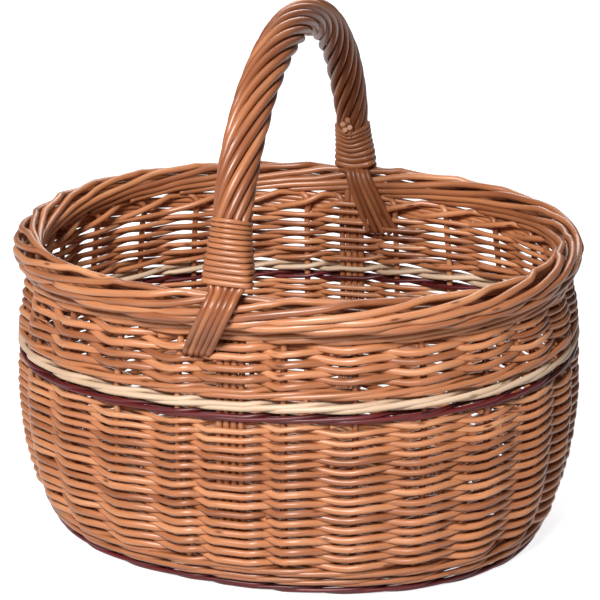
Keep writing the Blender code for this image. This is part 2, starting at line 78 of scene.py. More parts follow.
direction = Vector((
    math.sin(CAMERA_AZIMUTH) * math.cos(CAMERA_ELEVATION),
    -math.cos(CAMERA_AZIMUTH) * math.cos(CAMERA_ELEVATION),
    math.sin(CAMERA_ELEVATION),
))
camera_data = bpy.data.cameras.new("camera")
camera_data.lens = CAMERA_LENS_MM
camera_data.sensor_width = 36.0
camera_data.shift_x, camera_data.shift_y = CAMERA_SHIFT
camera = bpy.data.objects.new("camera", camera_data)
camera.location = CAMERA_TARGET + direction * CAMERA_DISTANCE
camera.rotation_euler = direction.to_track_quat("Z", "Y").to_euler()
bpy.context.scene.collection.objects.link(camera)
bpy.context.scene.camera = camera
bpy.context.scene.view_settings.view_transform = "Standard"

world = bpy.data.worlds.new("studio_sky")
bpy.context.scene.world = world
world.use_nodes = True
sky = world.node_tree
sky.nodes.clear()
rays = add_node(sky, "ShaderNodeLightPath")
seen = add_node(
    sky, "ShaderNodeMath", {"operation": "MAXIMUM"},
    i0=rays.outputs["Is Camera Ray"], i1=rays.outputs["Is Transmission Ray"],
)
soft = add_node(sky, "ShaderNodeBackground", Color=linear("#ffffff"), Strength=SKY_LIGHT)
white = add_node(sky, "ShaderNodeBackground", Color=linear("#ffffff"), Strength=1.0)
mixed = add_node(
    sky, "ShaderNodeMixShader", i0=seen.outputs[0], i1=soft.outputs[0], i2=white.outputs[0],
)
add_node(sky, "ShaderNodeOutputWorld", Surface=mixed.outputs[0])

# The floor is matt white paper. It takes the basket's shadow. Its own light keeps it white to the
# camera, and reflections see half of that light.
paper = bpy.data.materials.new("white_paper")
paper.use_nodes = True
sheet = paper.node_tree
sheet.nodes.clear()
matt = add_node(sheet, "ShaderNodeBsdfDiffuse", Color=linear("#c0c0c0"))
rays = add_node(sheet, "ShaderNodeLightPath")
glow = add_node(sheet, "ShaderNodeEmission", Color=linear("#ffffff"), Strength=FLOOR_GLOW)
dark = add_node(sheet, "ShaderNodeEmission", Color=linear("#000000"), Strength=0.0)
mirrored = add_node(
    sheet, "ShaderNodeMath", {"operation": "MULTIPLY"},
    i0=rays.outputs["Is Glossy Ray"], i1=REFLECTED_SHARE,
)
seen = add_node(
    sheet, "ShaderNodeMath", {"operation": "MAXIMUM"},
    i0=rays.outputs["Is Camera Ray"], i1=mirrored.outputs[0],
)
own = add_node(
    sheet, "ShaderNodeMixShader", i0=seen.outputs[0], i1=dark.outputs[0], i2=glow.outputs[0],
)
both = add_node(sheet, "ShaderNodeAddShader", i0=matt.outputs[0], i1=own.outputs[0])
add_node(sheet, "ShaderNodeOutputMaterial", Surface=both.outputs[0])
bm = bmesh.new()
bmesh.ops.create_grid(bm, x_segments=1, y_segments=1, size=FLOOR_HALF)
mesh = bpy.data.meshes.new("paper_floor")
bm.to_mesh(mesh)
bm.free()
mesh.materials.append(paper)
floor = bpy.data.objects.new("paper_floor", mesh)
bpy.context.scene.collection.objects.link(floor)

LAMPS = (
    # name, place, size, watts
    ("key", (-0.14, -2.1, 1.9), 0.8, 104.0),
    ("top", (0.0, 0.4, 2.4), 1.6, 10.0),
    ("back", (-0.5, 2.5, 1.5), 1.4, 21.0),
)
for name, place, size, watts in LAMPS:
    lamp_data = bpy.data.lights.new(name, "AREA")
    lamp_data.shape = "DISK"
    lamp_data.size = size
    lamp_data.energy = watts
    lamp = bpy.data.objects.new(name, lamp_data)
    lamp.location = place
    lamp.rotation_euler = (Vector(place) - CAMERA_TARGET).to_track_quat("Z", "Y").to_euler()
    bpy.context.scene.collection.objects.link(lamp)

# Stakes and border: 26 willow rods stand in the wall. Each leaves over the top wale, climbs the
# outside of the border, crosses over its top and is tucked down inside, all in the rod's own
# length. The willow was boiled and stripped, which leaves it buff with a waxy sheen.
STAKES = 26
HANDLE_GAP = 0.83  # of the mean gap between stakes, on both sides of each foot of the handle
PLAN_EXPONENT = 2.2  # of the oval: 2 is an ellipse, and more is squarer
RIM_LONG = 0.1931
RIM_WIDE = 0.1637
RIM_HEIGHT = 0.2055
RING_TALLER = 1.12  # the border's ring of rods is taller than it is wide
# Half lengths of the wall's outer face at these heights, and how much less each half width is.
WALL_HEIGHTS = (0.0, 0.030, 0.065, 0.100, 0.134, 0.160, 0.190, 0.205)
WALL_LONG = (0.1818, 0.1940, 0.2015, 0.2044, 0.2034, 0.2018, 0.1962, 0.1940)
WALL_NARROWER = 0.0346
STAKE_DEPTH = 0.0060
STAKE_RADIUS = 0.0023
STAKE_SPAN = (0.003, 0.190)
STAKE_STEPS = 20
LEAVES_WALL = 0.1930
BUNDLE_REACH = (-0.0095, 0.0103)  # the rods at a foot of the handle, along the wall
# The courses aren't level. They tilt and sag most from the pale band to the upper rows.
TILT_LONG = 0.0068 / 0.200
TILT_WIDE = -0.0042 / 0.160
SAG = 0.0031
SAG_MIDDLE = 0.025
TILTED_HEIGHTS = (0.012, 0.137, 0.165, 0.198)
TILTED_SHARES = (0.0, 1.0, 1.0, 0.0)
# Each rod is as light or dark as its tone says, drawn between two limits.
ROD_TONES = (0.0, 0.6)
ROD_SIZES = (0.94, 1.06)
draws = np.random.default_rng(26)


def plan(angle, long, wide):
    """Points of the oval and their outward normals, for arrays of angle and half sizes."""
    along, across = np.cos(angle), np.sin(angle)
    x = long * np.sign(along) * abs(along) ** (2 / PLAN_EXPONENT)
    y = wide * np.sign(across) * abs(across) ** (2 / PLAN_EXPONENT)
    steep = PLAN_EXPONENT - 1
    nx = np.sign(x) * abs(x / long) ** steep / long
    ny = np.sign(y) * abs(y / wide) ** steep / wide
    size = np.hypot(nx, ny)
    return x, y, nx / size, ny / size


plan_angles = np.linspace(-math.pi / 2, 3 * math.pi / 2, 4001)
plan_x, plan_y, _, _ = plan(plan_angles, RIM_LONG, RIM_WIDE)
plan_lengths = np.concatenate([[0.0], np.cumsum(np.hypot(np.diff(plan_x), np.diff(plan_y)))])
GIRTH = plan_lengths[-1]
slot_gaps = np.full(STAKES, (STAKES - 4 * HANDLE_GAP) / (STAKES - 4))
slot_gaps[[0, STAKES // 2 - 1, STAKES // 2, STAKES - 1]] = HANDLE_GAP
slot_starts = np.concatenate([[0.0], np.cumsum(slot_gaps)]) * GIRTH / STAKES


def slot_length(slot):
    """How far round the rim a slot number lies, counter-clockwise from the handle's front foot."""
    rounds = np.floor(np.asarray(slot) / STAKES)
    return rounds * GIRTH + np.interp(slot - rounds * STAKES, np.arange(STAKES + 1), slot_starts)


def angle_at(length):
    """The oval's angle at a length round the rim."""
    return np.interp(np.mod(length, GIRTH), plan_lengths, plan_angles)


def wall_sizes(height):
    """Half length and half width of the stakes' line, on a smooth curve through the sizes."""
    heights, sizes = np.array(WALL_HEIGHTS), np.array(WALL_LONG)
    slopes = np.gradient(sizes, heights)
    height = np.clip(height, heights[0], heights[-1])
    index = np.clip(np.searchsorted(heights, height) - 1, 0, len(heights) - 2)
    step = heights[index + 1] - heights[index]
    t = (height - heights[index]) / step
    long = (
        (2 * t**3 - 3 * t**2 + 1) * sizes[index]
        + (t**3 - 2 * t**2 + t) * step * slopes[index]
        + (3 * t**2 - 2 * t**3) * sizes[index + 1]
        + (t**3 - t**2) * step * slopes[index + 1]
    ) - STAKE_DEPTH
    return long, long - WALL_NARROWER


def wall(length, out, height):
    """Points of the wall: how far round, how far out of the stakes, how high in the weave."""
    length, out, height = np.broadcast_arrays(length, out, height)
    angle = angle_at(length)
    long, wide = wall_sizes(height)
    x, y, nx, ny = plan(angle, long, wide)
    share = np.interp(height, TILTED_HEIGHTS, TILTED_SHARES)
    sag = SAG * (1 - ((x - SAG_MIDDLE) / WALL_LONG[4]) ** 2)
    lifted = height + share * (TILT_LONG * x + TILT_WIDE * y - sag)
    return np.stack([x + nx * out, y + ny * out, lifted], axis=-1)


def ring(slot, turn, distance):
    """A point of the border's ring: the way round it, up from straight out, and how far out."""
    out, up = distance * math.cos(turn), distance * math.sin(turn) * RING_TALLER
    x, y, nx, ny = plan(angle_at(slot_length(slot)), RIM_LONG, RIM_WIDE)
    return np.array([float(x + nx * out), float(y + ny * out), RIM_HEIGHT + up])


def smooth_path(control, spacing):
    """A smooth curve through the control points, with a point about every spacing."""
    control = np.asarray(control, float)
    knots = np.concatenate([[0.0], np.cumsum(np.linalg.norm(np.diff(control, axis=0), axis=1))])
    slopes = np.gradient(control, knots, axis=0)
    places = np.linspace(0, knots[-1], max(int(knots[-1] / spacing), 4))
    index = np.clip(np.searchsorted(knots, places) - 1, 0, len(knots) - 2)
    step = (knots[index + 1] - knots[index])[:, None]
    t = ((places - knots[index]) / step[:, 0])[:, None]
    return (
        (2 * t**3 - 3 * t**2 + 1) * control[index]
        + (t**3 - 2 * t**2 + t) * step * slopes[index]
        + (3 * t**2 - 2 * t**3) * control[index + 1]
        + (t**3 - t**2) * step * slopes[index + 1]
    )


def make_rods(name, rods, sides, finish, cut_finish, slot, *nodes):
    """Round rods as one piece. Each rod is its points, its radius at each and its tone."""
    curve = bpy.data.curves.new(name, "CURVE")
    curve.dimensions = "3D"
    curve.bevel_depth = 0.001
    curve.bevel_resolution = (sides - 4) // 2
    curve.resolution_u = 1
    grain, tones = [], []
    for points, radius, tone in rods:
        radii = np.broadcast_to(radius, len(points))
        spline = curve.splines.new("POLY")
        spline.points.add(len(points) - 1)
        spline.points.foreach_set("co", np.column_stack([points, np.ones(len(points))]).ravel())
        spline.points.foreach_set("radius", radii / curve.bevel_depth)
        spline.use_smooth = True
        # The grain runs along the rod and round it, and each rod has its own stretch of it.
        along = np.concatenate([[0.0], np.cumsum(np.linalg.norm(np.diff(points, axis=0), axis=1))])
        turn = np.arange(sides) * 2 * math.pi / sides
        start = draws.uniform(0.0, 9.0)
        grain.append(np.stack([
            np.repeat(along + start, sides),
            np.outer(radii, np.cos(turn)).ravel() + start,
            np.outer(radii, np.sin(turn)).ravel(),
        ], axis=1))
        tones.append(np.full(len(points) * sides, tone))
    holder = bpy.data.objects.new(name, curve)
    mesh = bpy.data.meshes.new_from_object(holder)
    bpy.data.objects.remove(holder)
    assert len(mesh.vertices) == sum(map(len, tones)), (name, len(mesh.vertices))
    mesh.attributes.new("grain", "FLOAT_VECTOR", "POINT").data.foreach_set(
        "vector", np.concatenate(grain).ravel()
    )
    mesh.attributes.new("tone", "FLOAT", "POINT").data.foreach_set("value", np.concatenate(tones))
    bm = bmesh.new()
    bm.from_mesh(mesh)
    open_ends = [edge for edge in bm.edges if edge.is_boundary]
    caps = bmesh.ops.holes_fill(bm, edges=open_ends, sides=0)["faces"]
    bmesh.ops.recalc_face_normals(bm, faces=bm.faces)
    for face in bm.faces:
        face.smooth = True
        face.material_index = 0
    for face in caps:
        face.smooth = False
        face.material_index = 1
    bm.to_mesh(mesh)
    bm.free()
    mesh.materials.clear()
    mesh.materials.append(finish)
    mesh.materials.append(cut_finish)
    piece = bpy.data.objects.new(name, mesh)
    bpy.context.scene.collection.objects.link(piece)
    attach(piece, "root")
    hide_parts(*nodes)
    return piece


def willow(name, dark, middle, light, fleck, roughness, coat):
    """Peeled willow rod: long grain, a tone for each rod, and small scars where twigs grew."""
    material = bpy.data.materials.new(name)
    material.use_nodes = True
    tree = material.node_tree
    shader = tree.nodes["Principled BSDF"]
    rod = add_node(tree, "ShaderNodeAttribute", {"attribute_name": "grain"})
    tone = add_node(tree, "ShaderNodeAttribute", {"attribute_name": "tone"})
    # Willow's grain lines are 0.5 mm apart. They are drawn 1.6 mm apart and 40 mm long, so that
    # they show in the render.
    stretched = add_node(
        tree, "ShaderNodeMapping", i0=rod.outputs["Vector"],
        i3=(1 / 0.040, 1 / 0.0016, 1 / 0.0016),
    )
    lines = add_node(
        tree, "ShaderNodeTexNoise", Vector=stretched.outputs[0], Scale=1.0, Detail=3.0,
        Roughness=0.6,
    )
    # Blotches from the boiling are about 45 mm long and 12 mm wide, so they reach round the rod.
    broad = add_node(
        tree, "ShaderNodeMapping", i0=rod.outputs["Vector"],
        i3=(1 / 0.045, 1 / 0.012, 1 / 0.012),
    )
    blotch = add_node(
        tree, "ShaderNodeTexNoise", Vector=broad.outputs[0], Scale=1.0, Detail=2.0,
        Roughness=0.5,
    )
    sum_one = add_node(
        tree, "ShaderNodeMath", {"operation": "MULTIPLY_ADD"},
        i0=lines.outputs["Fac"], i1=0.55, i2=tone.outputs["Fac"],
    )
    sum_two = add_node(
        tree, "ShaderNodeMath", {"operation": "MULTIPLY_ADD"},
        i0=blotch.outputs["Fac"], i1=0.75, i2=sum_one.outputs[0],
    )
    shade = add_node(
        tree, "ShaderNodeMapRange", i0=sum_two.outputs[0], i1=0.55, i2=1.75, i3=0.0, i4=1.0,
    )
    ramp = add_node(tree, "ShaderNodeValToRGB", i0=shade.outputs[0])
    stops = ramp.color_ramp.elements
    stops[0].position, stops[0].color = 0.0, linear(dark)
    stops[1].position, stops[1].color = 1.0, linear(light)
    middle_stop = stops.new(0.5)
    middle_stop.color = linear(middle)
    # Twig scars lie about 30 mm apart. They fade out at up to 10 mm long and 2.5 mm wide.
    scar_space = add_node(
        tree, "ShaderNodeMapping", i0=rod.outputs["Vector"],
        i3=(1 / 0.030, 1 / 0.008, 1 / 0.008),
    )
    cells = add_node(
        tree, "ShaderNodeTexVoronoi", Vector=scar_space.outputs[0], Scale=1.0, Randomness=1.0,
    )
    scar = add_node(
        tree, "ShaderNodeMapRange", i0=cells.outputs["Distance"], i1=0.05, i2=0.16, i3=1.0,
        i4=0.0,
    )
    colour = add_node(
        tree, "ShaderNodeMix", {"data_type": "RGBA"}, i0=scar.outputs[0],
        i6=ramp.outputs["Color"], i7=linear(fleck),
    )
    tree.links.new(colour.outputs[2], shader.inputs["Base Color"])
    gloss = add_node(
        tree, "ShaderNodeMapRange", i0=lines.outputs["Fac"], i1=0.2, i2=0.8,
        i3=roughness - 0.08, i4=roughness + 0.1,
    )
    tree.links.new(gloss.outputs[0], shader.inputs["Roughness"])
    relief = add_node(
        tree, "ShaderNodeMath", {"operation": "MULTIPLY_ADD"},
        i0=scar.outputs[0], i1=1.2, i2=lines.outputs["Fac"],
    )
    bump = add_node(
        tree, "ShaderNodeBump", Strength=0.35, Distance=0.0004, Height=relief.outputs[0],
    )
    tree.links.new(bump.outputs[0], shader.inputs["Normal"])
    shader.inputs["IOR"].default_value = 1.5
    shader.inputs["Coat Weight"].default_value = coat
    shader.inputs["Coat Roughness"].default_value = 0.30
    return material


def cut_willow(name, light, dark):
    """The cut end of a rod: open end grain, paler and duller than the skin, in 1 mm specks."""
    material = bpy.data.materials.new(name)
    material.use_nodes = True
    tree = material.node_tree
    shader = tree.nodes["Principled BSDF"]
    place = add_node(tree, "ShaderNodeTexCoord")
    specks = add_node(
        tree, "ShaderNodeTexNoise", Vector=place.outputs["Object"], Scale=900.0, Detail=2.0,
    )
    ramp = add_node(tree, "ShaderNodeValToRGB", i0=specks.outputs["Fac"])
    ramp.color_ramp.elements[0].color = linear(dark)
    ramp.color_ramp.elements[1].color = linear(light)
    tree.links.new(ramp.outputs["Color"], shader.inputs["Base Color"])
    shader.inputs["Roughness"].default_value = 0.75
    return material


# Buff willow is boiled in its bark and then stripped. The bark's tannin leaves it orange brown,
# and its skin has a soft waxy sheen.
BUFF = willow("boiled_buff_willow", "#8a4f2f", "#be7b51", "#e2ac80", "#6d3a1e", 0.36, 0.18)
CUT = cut_willow("cut_buff_willow", "#e9bf8c", "#c98f5c")

# How far on a rod is in slots, which way round the ring in degrees up from straight out, and
# how far from the ring's centre in millimetres.
BORDER_PATH = (
    (0.30, -95, 8.0),
    (0.70, -75, 6.6),
    (1.10, -60, 6.4),
    (1.45, -47, 8.2),
    (1.90, -34, 8.5),
    (2.30, -22, 8.3),
    (2.55, -16, 7.0),
    (2.75, -11, 5.4),
    (2.95, -5, 7.2),
    (3.20, 4, 8.3),
    (3.50, 13, 8.5),
    (4.00, 30, 8.6),
    (4.40, 47, 8.9),
    (4.70, 62, 9.2),
    (4.88, 74, 9.5),
    (5.00, 86, 9.9),
    (5.12, 97, 9.9),
    (5.40, 105, 9.5),
    (5.80, 114, 9.1),
    (6.05, 128, 8.6),
    (6.40, 148, 8.4),
    (6.80, 164, 8.4),
    (7.30, 178, 8.3),
    (7.80, 192, 8.3),
    (8.30, 203, 8.6),
    (8.90, 218, 9.0),
    (9.35, 228, 9.2),
)
# The rods that cross the border's top beside the handle's feet cross it a little sooner.
KNUCKLE_SLOTS = 5
KNUCKLE_SHIFT = -0.26
KNUCKLE_SPAN = (3.8, 4.6, 5.3, 6.3)
# Along a rod: thicker in the border than in the wall, thinner at its tip.
STAKE_THICKNESS = ((0, 0.3, 0.42, 0.9, 1), (1.0, 1.0, 1.12, 1.08, 0.9))


def wander(count, size, smoothness):
    """A smooth random drift, as a hand-laid rod has."""
    knots = draws.normal(0.0, size, max(count // smoothness, 2) + 2)
    return np.interp(np.linspace(0, len(knots) - 1, count), np.arange(len(knots)), knots)


def nodes_named(prefix):
    """The CAD's nodes whose names start like this."""
    return [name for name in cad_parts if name.startswith(prefix)]


stake_rods = []
for slot in range(STAKES):
    at_handle = slot % (STAKES // 2) == 0
    knuckle_at_handle = (slot + KNUCKLE_SLOTS) % (STAKES // 2) == 0
    beside = BUNDLE_REACH[1] - STAKE_RADIUS if at_handle else draws.normal(0.0, 0.0006)
    length = slot_length(slot) + beside
    sway = wander(STAKE_STEPS, 0.0002, 5)
    upright = wall(length, sway, np.linspace(*STAKE_SPAN, STAKE_STEPS))
    control = list(upright[::3]) + [wall(length, 0.0, LEAVES_WALL)]
    for ahead, degrees, distance in BORDER_PATH:
        if at_handle and ahead < 0.5:
            continue
        if knuckle_at_handle:
            ahead += KNUCKLE_SHIFT * np.interp(ahead, KNUCKLE_SPAN, (0, 1, 1, 0))
        turn = math.radians(degrees + draws.normal(0.0, 1.6))
        control.append(ring(slot + ahead, turn, distance / 1000 + draws.normal(0.0, 0.00018)))
    points = smooth_path(control, 0.0034)
    thick = np.interp(np.linspace(0, 1, len(points)), *STAKE_THICKNESS)
    radius = STAKE_RADIUS * thick * draws.uniform(*ROD_SIZES)
    stake_rods.append((points, radius, draws.uniform(*ROD_TONES)))
make_rods(
    "stakes_and_border", stake_rods, 10, BUFF, CUT, "buff_willow", *nodes_named("stake_"),
)

# Weave: what every course of the wall shares. A course's place in the weave counts stakes, and
# doesn't change across the bundle of rods at each foot of the handle.
ROWS_POINTS = 10  # from one stake to the next


def weave_knots():
    """Lengths round the rim and the count of stakes at each, over more than five rounds."""
    lengths, counts = [], []
    for slot in range(-STAKES, 5 * STAKES + 1):
        reach = BUNDLE_REACH if slot % (STAKES // 2) == 0 else (0.0,)
        for shift in reach:
            lengths.append(float(slot_length(slot)) + shift)
            counts.append(float(slot))
    return np.array(lengths), np.array(counts)


knot_lengths, knot_counts = weave_knots()


def course_lengths(first, last, points_per_slot):
    """Even places between two slots, and where each of them is in the weave."""
    count = int((last - first) * points_per_slot) + 1
    lengths = slot_length(np.linspace(first, last, count))
    return lengths, np.interp(lengths, knot_lengths, knot_counts)


# Randing: single buff rods, over one stake and under the next, packed down row on row. Each row
# starts and ends inside, where a new rod is laid beside the old one. Two rods more fill the back
# of the upper band, where the rods have run out to their thin ends.
BACK_RISE = 0.0030
PACKED_FROM = 4.64
PACKED_TO = 21.64
PACKED_STEP = 0.7  # in slots, from the first of the two rods to the second
PACKED_ENDS = (3.5, 6.0, 20.5, 23.0)  # the slots over which the rows make room for them
BEND_SHARPNESS = 0.985  # at 1 a rod is straight from stake to stake, with a kink at each
BEND_PAST = 0.06  # in slots, past the stake
BEND_HELD = 1.2  # above 1 a rod stays against the stake for longer
CLIMB = 0.0009
CLIMB_INSIDE = 0.6  # at 1 a rod climbs inside the wall too
PRESSED = 0.0004  # lower outside a stake than inside
ROW_REACH = 0.36  # in slots, past the stakes that a row's ends rest on
LAP_START = 0.8  # in slots, before a row's last stake
LAP_SLOTS = 0.5
LAP_RADII = 1.7  # how far inside the first rod the last one lies
THINNEST = 0.0008
ROW_TAPER = (1.08, 0.92)


def randing(name, low, high, rows, packed, first_phase, thicker_foot, thickness):
    """Rows between two heights, those numbered in packed only in the back of the basket.

    The thickness is a rod's radius as a share of its row's height, in front and in the back.
    """
    rods = []
    lifted = BACK_RISE if packed else 0.0
    for row in range(rows):
        phase = (row + first_phase) % 2
        start = 2 * int(draws.integers(0, STAKES // 2)) + 1 + phase
        first, last = start - ROW_REACH, start + STAKES + ROW_REACH
        if row in packed:
            first, last = PACKED_FROM + row % 2 * PACKED_STEP, PACKED_TO + row % 2 * PACKED_STEP
        lengths, counts = course_lengths(first, last, ROWS_POINTS)
        count = len(lengths)
        behind = np.interp(counts % STAKES, PACKED_ENDS, (0.0, 1.0, 1.0, 0.0))
        weights = np.linspace(1 + thicker_foot, 1 - thicker_foot, rows)[:, None] * np.array(
            [behind if number in packed else np.ones(count) for number in range(rows)]
        )
        pitches = weights * (high + lifted * behind - low) / weights.sum(axis=0)
        height = low + pitches[:row].sum(axis=0) + pitches[row] / 2
        radius = np.maximum(pitches[row] * np.interp(behind, (0, 1), thickness), THINNEST)
        # A rod runs straight from one stake to the next and bends sharply round each. It climbs
        # as it leaves the outside of a stake, and drops again inside the next.
        past = counts + phase
        swing = np.arcsin(BEND_SHARPNESS * np.cos(math.pi * (past - BEND_PAST)))
        swing = np.clip(BEND_HELD * swing / math.asin(BEND_SHARPNESS), -1, 1)
        climb = CLIMB * np.sin(2 * math.pi * past) * np.clip(CLIMB_INSIDE + swing, 0, 1)
        climb -= PRESSED * np.cos(math.pi * past)
        lap = np.clip((counts - (start + STAKES - LAP_START)) / LAP_SLOTS, 0, 1)
        lap *= row not in packed
        out = (STAKE_RADIUS + radius) * swing - lap * LAP_RADII * radius + wander(count, 0.00018, 8)
        height = height + climb + wander(count, 0.00026, 14)
        thick = radius * np.linspace(*ROW_TAPER, count) * (1 + wander(count, 0.03, 10))
        rods.append((wall(lengths, out, height), thick, draws.uniform(*ROD_TONES)))
    return make_rods(name, rods, 8, BUFF, CUT, "buff_willow", *nodes_named(name))


randing(
    "lower_randing", 0.0235, 0.1290, rows=30, packed=(), first_phase=0, thicker_foot=0.12,
    thickness=(0.645, 0.64),
)
randing(
    "upper_randing", 0.1548, 0.1840, rows=10, packed=(4, 5), first_phase=1, thicker_foot=0.0,
    thickness=(0.72, 0.61),
)

# Waling: three or four rods worked together, buff, stained or white. Each goes outside all stakes
# but one, rising over the others as it goes, so the course looks like a rope.
WALE_START = 14.0
WALE_TONES = (0.1, 0.5)
WALE_PACKING = 0.98
WALE_STEEPER = 0.1  # in rods, so that the strands show between one another


def wale(name, low, high, strands, rod_radius, finish, slot, rounds=1):
    """One or two rounds of waling. A strand meets its own start after two or three turns."""
    loops = math.gcd(STAKES, strands)
    rods = []
    for level in range(rounds):
        middle = low + (high - low) * (level + 0.5) / rounds
        for loop in range(loops):
            first = WALE_START + loop
            last = first + STAKES * strands / loops
            lengths, counts = course_lengths(first, last, ROWS_POINTS)
            where = np.mod(counts + loop + level, strands)
            inside = np.minimum(where, strands - where)
            swing = -np.cos(math.pi * np.clip(inside, 0, 1))
            reach = STAKE_RADIUS + rod_radius
            out = reach * swing + wander(len(lengths), 0.0002, 10)
            most = (strands - 2) / 2 + WALE_STEEPER
            rise = np.interp(where, (0, 0.5, strands - 0.5, strands), (0.0, -most, most, 0.0))
            height = middle + rise * rod_radius * 2 * WALE_PACKING
            height = height + wander(len(lengths), 0.0002, 10)
            thick = rod_radius * (1 + wander(len(lengths), 0.03, 12))
            rods.append((wall(lengths, out, height), thick, draws.uniform(*WALE_TONES)))
    return make_rods(name, rods, 8, finish, CUT, slot, name)


# Stained willow is dyed after stripping: a dull dark red, lighter along the grain. White willow is
# stripped without boiling: cream, with a faint silky grain and hardly any gloss.
STAINED = willow("stained_dark_willow", "#300506", "#641618", "#a83e3a", "#1d0608", 0.40, 0.0)
WHITE = willow("stripped_white_willow", "#c2a184", "#dec6aa", "#f0e0cd", "#8e7146", 0.45, 0.05)
wale("foot_wale", 0.0005, 0.0074, 3, 0.00172, STAINED, "stained_willow")
wale("upsett_wale", 0.0074, 0.0230, 3, 0.00192, BUFF, "buff_willow", rounds=2)
wale("dark_wale", 0.1298, 0.1368, 3, 0.00172, STAINED, "stained_willow")
wale("cream_wale", 0.1370, 0.1458, 3, 0.00215, WHITE, "white_willow")
wale("buff_wale", 0.1460, 0.1542, 3, 0.0020, BUFF, "buff_willow")
wale("top_wale", 0.1842, 0.1985, 4, 0.0023, BUFF, "buff_willow")

# Handle: a thick bow stands in the wall beside a stake at each side, and ten thinner buff rods are
# twisted round it, rising to the right. At each foot, half of them fan out over the border and
# half inside it, and their tips are tucked into the weave.
ARCH_HALF = 0.1617
ARCH_SPRING = 0.219
ARCH_RISE = 0.1465
ROPE_RODS = 10
ROPE_ROD_RADIUS = 0.0029
ROPE_RING = 0.0107
TWIST_TURNS = 2.2
ROPE_DRAWN_IN = 0.10
DRAWN_IN_REACH = 0.018
# At a foot the rods lie in two flat rows. The binding is as wide as rows of this pitch, and the
# rods in it are gathered a little closer.
FRONT_PITCH = 0.0064
REAR_PITCH = 0.0058
GATHERED = 0.8
FAN_PITCH = 0.0054
ROW_OFFSET = 0.0050
REAR_LEAN = 0.0018
HANDLE_TONES = (-0.20, 0.20)
# The heights that the bindings cover.
FRONT_BINDING = (0.2245, 0.2655)
REAR_BINDING = (0.2165, 0.2545)


def arch(angle):
    """Centres and outward directions of the arch, for angles from 0 in front to pi behind."""
    zero = np.zeros_like(angle)
    centre = np.stack(
        [zero, -ARCH_HALF * np.cos(angle), ARCH_SPRING + ARCH_RISE * np.sin(angle)], axis=-1
    )
    outward = np.stack([zero, -ARCH_RISE * np.cos(angle), ARCH_HALF * np.sin(angle)], axis=-1)
    return centre, outward / np.linalg.norm(outward, axis=-1, keepdims=True)


def arch_angle(height):
    """The arch's angle at a height, on its front half."""
    return np.arcsin((np.asarray(height) - ARCH_SPRING) / ARCH_RISE)


def roundness(angle):
    """0 where the handle is flat at a foot, 1 where it is a round rope."""
    height = arch(angle)[0][..., 2]
    low = np.where(angle < math.pi / 2, FRONT_BINDING[0], REAR_BINDING[0])
    top = np.where(angle < math.pi / 2, FRONT_BINDING[1], REAR_BINDING[1])
    share = np.clip((height - low) / (top - low), 0, 1)
    return (1 - np.cos(math.pi * share)) / 2


def rope_ring(angle):
    """How far the rods lie from the handle's middle: drawn in a little by the bindings."""
    height = arch(angle)[0][..., 2]
    top = np.where(angle < math.pi / 2, FRONT_BINDING[1], REAR_BINDING[1])
    above = np.maximum(height - top, 0)
    return ROPE_RING * (1 - ROPE_DRAWN_IN * np.exp(-(above / DRAWN_IN_REACH) ** 2))


front_top = float(arch_angle(FRONT_BINDING[1]))
rear_top = math.pi - float(arch_angle(REAR_BINDING[1]))

# The fans' paths: out and up in mm from the rim's centre line, then shares of the slide along the
# rim, of the pitch between the rods, and of a rod's thickness.
OUTER_FAN = (
    (5.6, 15.7, 0.02, 0.80, 0.84),
    (10.6, 11.9, 0.06, 0.79, 0.84),
    (14.0, 7.0, 0.14, 0.78, 0.83),
    (14.6, 0.0, 0.29, 0.78, 0.82),
    (12.6, -8.0, 0.47, 0.78, 0.81),
    (8.4, -15.5, 0.66, 0.77, 0.79),
    (3.6, -23.0, 0.84, 0.75, 0.77),
    (1.2, -29.5, 1.00, 0.73, 0.73),
)
INNER_FAN = (
    (-9.6, 15.9, 0.06, 0.68, 0.76),
    (-13.0, 11.5, 0.22, 0.70, 0.76),
    (-15.4, 5.0, 0.32, 0.76, 0.78),
    (-15.8, -4.5, 0.48, 0.84, 0.80),
    (-15.0, -16.5, 0.67, 0.92, 0.80),
    (-13.4, -28.5, 0.86, 1.02, 0.80),
    (-11.6, -37.5, 1.00, 1.06, 0.77),
)
FRONT_SLIDE = 0.0220
REAR_SLIDE = 0.0270


def foot_place(turn):
    """A rod's column and row at a foot, from where its twist ends."""
    turn %= 2 * math.pi
    row = 1 if turn < math.pi else -1
    per_row = ROPE_RODS // 2
    index = int(turn / math.pi * per_row) % per_row
    return row * ((per_row - 1) / 2 - index), row


def fan(side, column, row):
    """A rod's points and thickness below the binding. The rear binding reaches down further."""
    points, thickness = [], []
    path = OUTER_FAN if row > 0 else INNER_FAN
    for out, up, slide, pitch, thick in path if side < 0 else path[1:]:
        slid = side * slide * (FRONT_SLIDE if side < 0 else REAR_SLIDE)
        x = column * FAN_PITCH * pitch + slid
        points.append((x, side * (RIM_WIDE + out / 1000), RIM_HEIGHT + up / 1000))
        thickness.append(thick)
    return points, thickness


